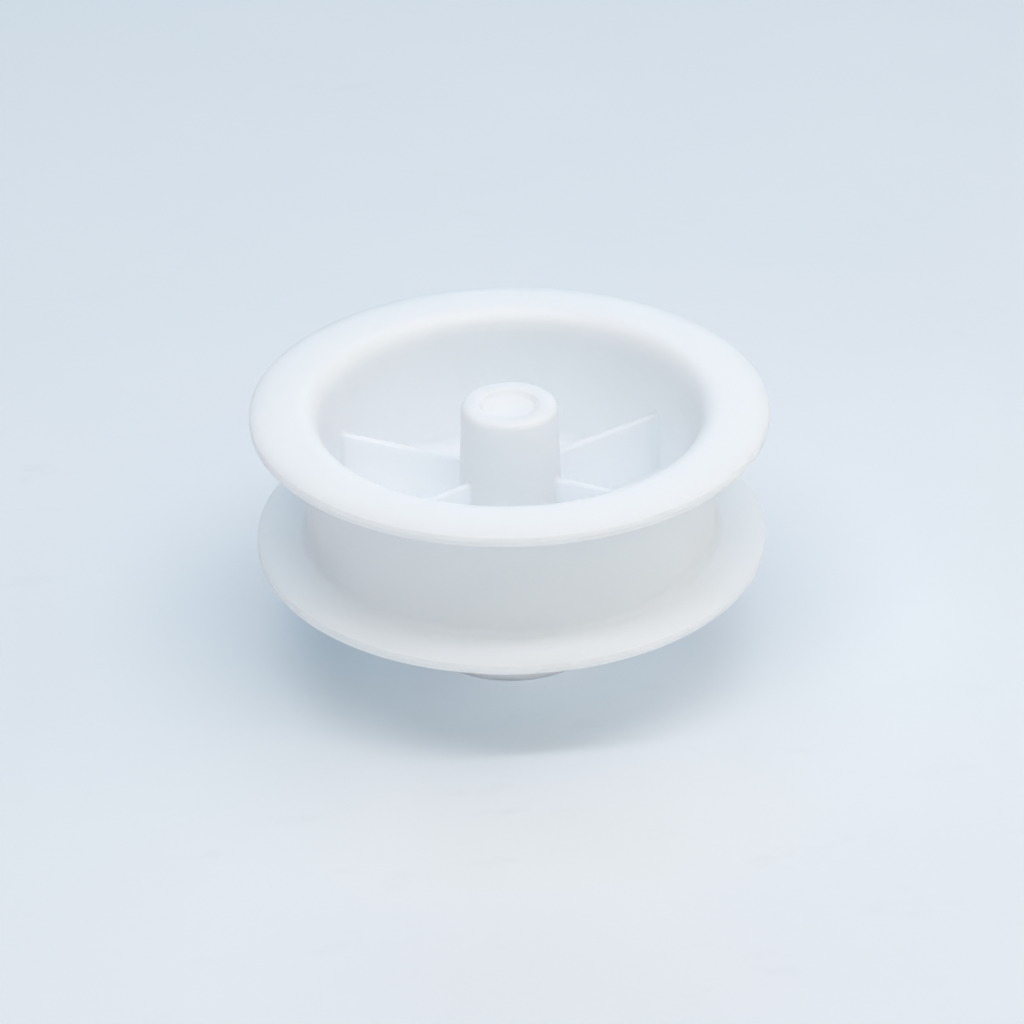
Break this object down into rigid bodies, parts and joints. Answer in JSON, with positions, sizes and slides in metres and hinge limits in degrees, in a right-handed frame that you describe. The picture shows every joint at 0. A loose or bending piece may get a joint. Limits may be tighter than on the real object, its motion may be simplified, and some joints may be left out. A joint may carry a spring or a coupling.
{
  "type": "dryer idler pulley",
  "caption": "White moulded flanged pulley with a wide belt groove, a ribbed cup side, a blind shaft bore and a cored boss; it keeps a tumble dryer's drum belt tight.",
  "frame": {"origin": "centre of the boss's end face, on the shaft bore's axis, which is the plane the pulley stands on", "axes": "+Z along the shaft bore's axis, from the boss to the open side of the cup; the ribs lie 30 degrees either side of X"},
  "size_m": [0.073, 0.073, 0.0383],
  "materials": {
    "white_plastic": "satin, slightly translucent"
  },
  "bodies": {
    "root": {"idler_pulley": "white_plastic"}
  },
  "joints": []
}
